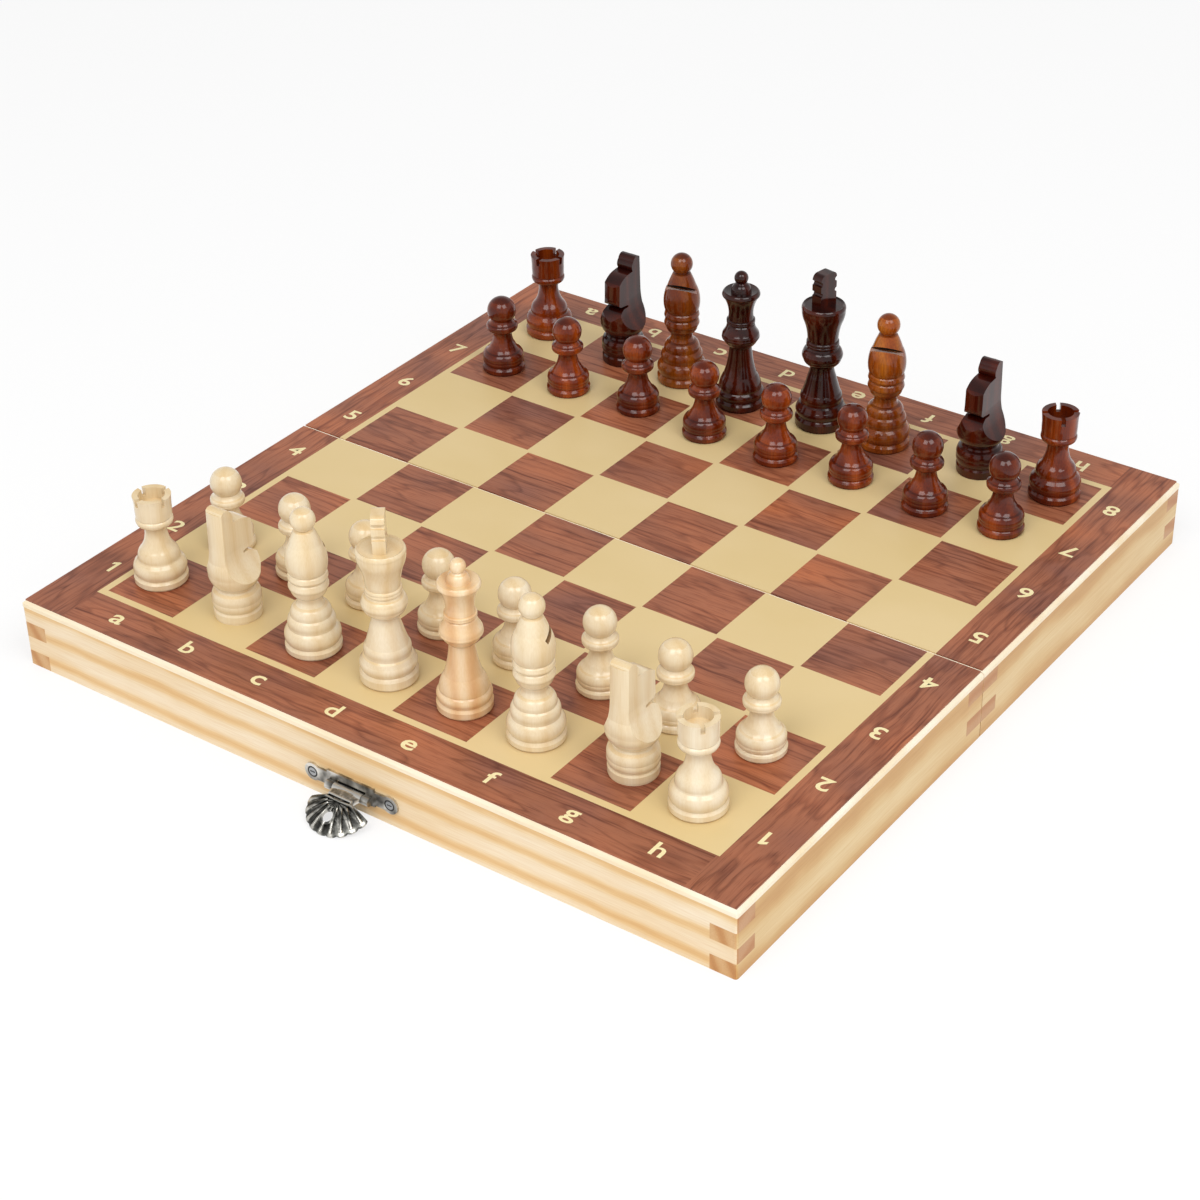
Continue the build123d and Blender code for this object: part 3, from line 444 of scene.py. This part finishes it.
paint(["near_panel", "far_panel"], paleLime)
paint(["near_dark_veneer", "far_dark_veneer"], rosewood)
paint(["near_light_field", "far_light_field"], tanLacquer)
paint(["near_felt_lining", "far_felt_lining"], feltCloth)
paint(["near_steel_sheet", "far_steel_sheet", "near_screws", "far_screws"], tinnedSteel)
paint(["hasp_fan"], fanSilver)
paint(["hasp_plate", "hasp_pin", "catch_plate"], oldSilver)
paint(["near_hinge_leaves", "far_hinge_leaves", "hinge_pins"], yellowBrass)
print("solids painted")

# Letters and figures printed on the border. An edge is how far in from the board's edge a row stands.
letters = {
    "files": "abcdefgh",
    "height": 6.5 * mm,
    "rise": 0.02 * mm,
    "letterEdge": 10.2 * mm,
    "letterPitch": 31.4 * mm,
    "letterShift": 0.9 * mm,
    "figureEdge": 11.0 * mm,
    "figurePitch": 32.1 * mm,
    "fontSize": 1.4,  # for letters of height 1
    "stretch": 1.22,
    "boldness": 0.024,
    "smallOnes": "ace",
    "smallGrown": 1.1,
    # The font's own 1 is a bare bar, so that one is drawn, for a height of 1
    "one": [
        (-0.03, -0.5), (0.17, -0.5), (0.17, 0.5), (0.02, 0.5), (-0.24, 0.34), (-0.24, 0.14), (-0.03, 0.26)],
}


def glyph(text):  # the flat shape of one character
    if text == "1":
        mesh = bpy.data.meshes.new("print_1")
        outline = [(x * letters["height"], y * letters["height"], 0) for x, y in letters["one"]]
        mesh.from_pydata(outline, [], [range(len(outline))])
        return mesh
    curve = bpy.data.curves.new("print_" + text, "FONT")
    curve.body = text
    curve.size = letters["height"] * letters["fontSize"]
    curve.align_x = "CENTER"
    curve.align_y = "CENTER"
    curve.offset = letters["height"] * letters["boldness"]
    curve.resolution_u = 3
    drawn = bpy.data.objects.new("print_" + text, curve)
    bpy.context.collection.objects.link(drawn)
    bpy.context.view_layer.update()
    mesh = bpy.data.meshes.new_from_object(drawn.evaluated_get(bpy.context.evaluated_depsgraph_get()))
    bpy.data.objects.remove(drawn)
    grown = letters["smallGrown"] if text in letters["smallOnes"] else 1.0
    mesh.transform(Matrix.Diagonal((letters["stretch"] * grown, grown, 1, 1)))
    return mesh


def printed(text, x, y, turn, body):  # one character as a film of ink on the border; a figure is centred
    mesh = glyph(text)
    if text.isdigit():
        across, along = ([v.co[axis] for v in mesh.vertices] for axis in (0, 1))
        centre = Matrix.Translation((-(min(across) + max(across)) / 2, -(min(along) + max(along)) / 2, 0))
        mesh.transform(centre)
    mesh.transform(Matrix.Translation((x, y, topZ + letters["rise"])) @ Matrix.Rotation(turn, 4, "Z"))
    mesh.materials.clear()
    mesh.materials.append(printInk)
    inked = bpy.data.objects.new("print_" + text, mesh)
    bpy.context.collection.objects.link(inked)
    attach(inked, body)


lettersAt = board["halfCase"] - letters["letterEdge"]
figuresAt = board["halfCase"] - letters["figureEdge"]
middle = (len(letters["files"]) - 1) / 2
for place, letter in enumerate(letters["files"]):
    letterX = (place - middle) * letters["letterPitch"] + letters["letterShift"]
    figureY = seamY + (place - middle) * letters["figurePitch"]
    half = "near_half" if place < middle else "far_half"
    printed(letter, letterX, seamY - lettersAt, 0, "near_half")
    printed(letter, letterX, seamY + lettersAt, math.pi, "far_half")
    printed(str(place + 1), -figuresAt, figureY, 0, half)
    printed(str(place + 1), figuresAt, figureY, math.pi, half)
print("letters printed")

# Dark films on the hasp: a sunk ring and a slot at each screw, where tarnish and painted shade stand in for
# the hollows, and painted shade in the window behind the knuckle
hollows = {
    "screw": (15.8 * mm, 9.6 * mm),  # from the middle of the hasp, and up
    "plate": 0.8 * mm,  # thickness of the plate that the screws hold
    "ring": (1.75 * mm, 0.75 * mm),  # radius and width
    "slot": (2.0 * mm, 0.4 * mm),  # length and height
    "window": (11.9 * mm, 4.2 * mm),
    "film": 0.1 * mm,
    "roundSteps": 8,
    "ringSteps": 48,
}


def roundedBar(length, height, depth):  # a flat bar with round ends, lying across the front face
    steps = hollows["roundSteps"]
    turns = [math.pi * (step / steps - 0.5) for step in range(steps + 1)]
    half, reach = height / 2, (length - height) / 2
    outline = [(reach + half * math.cos(turn), half * math.sin(turn)) for turn in turns]
    outline += [(-x, -z) for x, z in outline]
    shape = bmesh.new()
    face = shape.faces.new([shape.verts.new((x, 0, z)) for x, z in outline])
    pushed = bmesh.ops.extrude_face_region(shape, geom=[face])["geom"]
    front = [v for v in pushed if isinstance(v, bmesh.types.BMVert)]
    bmesh.ops.translate(shape, vec=(0, -depth, 0), verts=front)
    bmesh.ops.recalc_face_normals(shape, faces=shape.faces)
    return shape


def ringGroove(radius, width, depth):  # a flat ring with a rounded face
    shape = bmesh.new()
    outer, edge = width / 2, width / 4
    section = [(radius - outer, 0), (radius - edge, -depth), (radius + edge, -depth), (radius + outer, 0)]
    turns = [math.tau * step / hollows["ringSteps"] for step in range(hollows["ringSteps"])]
    loops = [
        [shape.verts.new((r * math.cos(turn), y, r * math.sin(turn))) for r, y in section] for turn in turns]
    for here, there in zip(loops, loops[1:] + loops[:1]):
        for side in range(len(section)):
            corner = (side + 1) % len(section)
            shape.faces.new((here[side], there[side], there[corner], here[corner]))
    bmesh.ops.recalc_face_normals(shape, faces=shape.faces)
    return shape


def tarnishAndShadeFilm(name, shape, place):  # sets a dark film of tarnish and painted shade on the near half
    mesh = bpy.data.meshes.new(name)
    shape.to_mesh(mesh)
    shape.free()
    mesh.transform(Matrix.Translation(place))
    mesh.materials.append(tarnishAndShade)
    sunk = bpy.data.objects.new(name, mesh)
    bpy.context.collection.objects.link(sunk)
    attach(sunk, "near_half")


faceY = seamY - board["halfCase"]
film = hollows["film"]
screwX, screwZ = hollows["screw"]
for side, end in ((-1, "left"), (1, "right")):
    place = (side * screwX, faceY - hollows["plate"] + film / 2, screwZ)
    tarnishAndShadeFilm(end + "_screw_ring", ringGroove(*hollows["ring"], film), place)
    tarnishAndShadeFilm(end + "_screw_slot", roundedBar(*hollows["slot"], film), place)
# Painted shade: a black film in the window behind the knuckle, where only shade falls
tarnishAndShadeFilm("hasp_window", roundedBar(*hollows["window"], film), (0, faceY, pivot[2]))
print("hasp hollows darkened")

# Floor, light and camera
room = {
    "floorSize": 6.0,
    "floorColour": "#fafafa",
    "floorRoughness": 0.9,
    "floorGlow": 0.7,
    "wallLevel": 0.8,
    "ceilingLevel": 0.45,
    "ceilingFrom": 0.3,
    "ceilingFull": 0.8,
    "lampPower": 12.5,
    "lampSize": 0.95,
    "lamps": {"left softbox": (0.1, -1.12, 1.5), "right softbox": (1.1, -0.33, 1.5)},
}

# Matt white paper. It glows a little for the camera and in reflections, and is clear from below.
floorPaper, shader = newMaterial("white paper floor")
plug(floorPaper, shader, {"Base Color": linear(room["floorColour"]), "Roughness": room["floorRoughness"]})
rays = addNode(floorPaper, "ShaderNodeLightPath")
seen = addNode(floorPaper, "ShaderNodeMath", {
    0: rays.outputs["Is Camera Ray"], 1: rays.outputs["Is Glossy Ray"]}, operation="MAXIMUM")
seenToo = addNode(floorPaper, "ShaderNodeMath", {
    0: seen.outputs[0], 1: rays.outputs["Is Transmission Ray"]}, operation="MAXIMUM")
glowShare = addNode(floorPaper, "ShaderNodeMath", {
    0: seenToo.outputs[0], 1: room["floorGlow"]}, operation="MULTIPLY")
glow = addNode(floorPaper, "ShaderNodeEmission", {"Color": linear("#ffffff"), "Strength": 1.0})
lit = addNode(floorPaper, "ShaderNodeMixShader", {
    0: glowShare.outputs[0], 1: shader.outputs[0], 2: glow.outputs[0]})
under = addNode(floorPaper, "ShaderNodeNewGeometry").outputs["Backfacing"]
clear = addNode(floorPaper, "ShaderNodeBsdfTransparent")
oneSided = addNode(floorPaper, "ShaderNodeMixShader", {0: under, 1: lit.outputs[0], 2: clear.outputs[0]})
plug(floorPaper, floorPaper.node_tree.nodes["Material Output"], {"Surface": oneSided.outputs[0]})
bpy.ops.mesh.primitive_plane_add(size=room["floorSize"], location=(0, 0, rimZ))
floor = bpy.context.object
floor.name = "floor"
floor.data.materials.append(floorPaper)

# White walls under a darker ceiling
world = bpy.data.worlds.new("studio")
world.use_nodes = True
bpy.context.scene.world = world
skyCoords = addNode(world, "ShaderNodeTexCoord").outputs["Generated"]
skyWay = addNode(world, "ShaderNodeSeparateXYZ", {0: skyCoords})
skyLevel = addNode(world, "ShaderNodeMapRange", {
    "Value": skyWay.outputs["Z"], "From Min": room["ceilingFrom"], "From Max": room["ceilingFull"],
    "To Min": room["wallLevel"], "To Max": room["ceilingLevel"]})
plug(world, world.node_tree.nodes["Background"], {
    "Color": linear("#ffffff"), "Strength": skyLevel.outputs[0]})


def softbox(name, place, size, power):  # a square lamp that looks at the middle of the board
    lamp = bpy.data.lights.new(name, "AREA")
    lamp.shape = "SQUARE"
    lamp.size = size
    lamp.energy = power
    hung = bpy.data.objects.new(name, lamp)
    bpy.context.collection.objects.link(hung)
    hung.location = place
    hung.rotation_euler = (-Vector(place)).to_track_quat("-Z", "Y").to_euler()


for name, place in room["lamps"].items():
    softbox(name, place, room["lampSize"], room["lampPower"])

# The photograph's own viewing angle, worked out from the board's corners in it
view = {
    "place": (0.46044, -0.63663 + seamY, 0.48867 + topZ),
    "azimuth": math.radians(36.343),
    "elevation": math.radians(33.205),
    "roll": math.radians(-1.244),
    "lens": 79.5,
    "sensor": 36,
    "nearest": 0.01,
}
forward = Vector((
    -math.sin(view["azimuth"]) * math.cos(view["elevation"]),
    math.cos(view["azimuth"]) * math.cos(view["elevation"]),
    -math.sin(view["elevation"]),
))
level = Vector((math.cos(view["azimuth"]), math.sin(view["azimuth"]), 0))
right = level * math.cos(view["roll"]) + level.cross(forward) * math.sin(view["roll"])
facing = Matrix((right, right.cross(forward), -forward)).transposed()
camera = bpy.data.objects.new("camera", bpy.data.cameras.new("camera"))
camera.data.lens = view["lens"]
camera.data.sensor_width = view["sensor"]
camera.data.clip_start = view["nearest"]
camera.matrix_world = Matrix.Translation(view["place"]) @ facing.to_4x4()
bpy.context.collection.objects.link(camera)
bpy.context.scene.camera = camera
bpy.context.scene.view_settings.view_transform = "Standard"
print("stage set")
